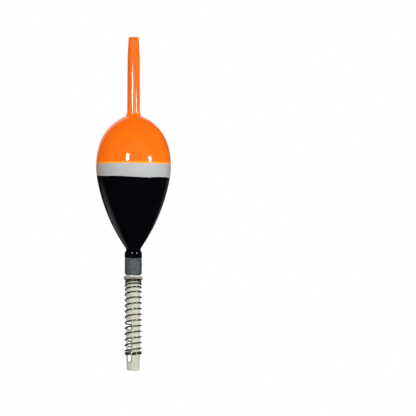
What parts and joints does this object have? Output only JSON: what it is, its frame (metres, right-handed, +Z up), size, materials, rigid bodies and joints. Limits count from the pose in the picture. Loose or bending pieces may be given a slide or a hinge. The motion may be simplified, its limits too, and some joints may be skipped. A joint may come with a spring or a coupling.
{
  "type": "spring bobber float",
  "caption": "Pear-shaped fishing float on a stem, with a lead sleeve and a sliding wire spring over a slotted tube that clamps the line.",
  "frame": {"origin": "centre of the line tube's open lower end", "axes": "+Z up the stem, -Y the front, -X the side that the line notch opens to"},
  "size_m": [0.0318, 0.0318, 0.1412],
  "materials": {
    "painted_body": "gloss enamel over hard foam: orange above, a white band, black below",
    "orange_plastic": "glossy moulded plastic",
    "ivory_plastic": "satin moulded plastic",
    "collar_plastic": "satin moulded plastic",
    "lead": "dull cast lead",
    "spring_wire": "drawn steel wire"
  },
  "bodies": {
    "float": {"float_body": "painted_body", "antenna": "orange_plastic", "line_tube": "ivory_plastic", "weight_sleeve": "lead", "stop_collar": "collar_plastic", "spring_grip_coils": "spring_wire", "spring_open_coils": "spring_wire"},
    "spring_end": {"spring_end_coils": "spring_wire"}
  },
  "joints": [
    {"name": "spring_slide", "type": "slide", "parent": "float", "child": "spring_end", "axis": [0, 0, 1], "range_m": [0, 0.016], "stiffness_N_per_m": 330, "deforming": ["spring_open_coils"]}
  ]
}
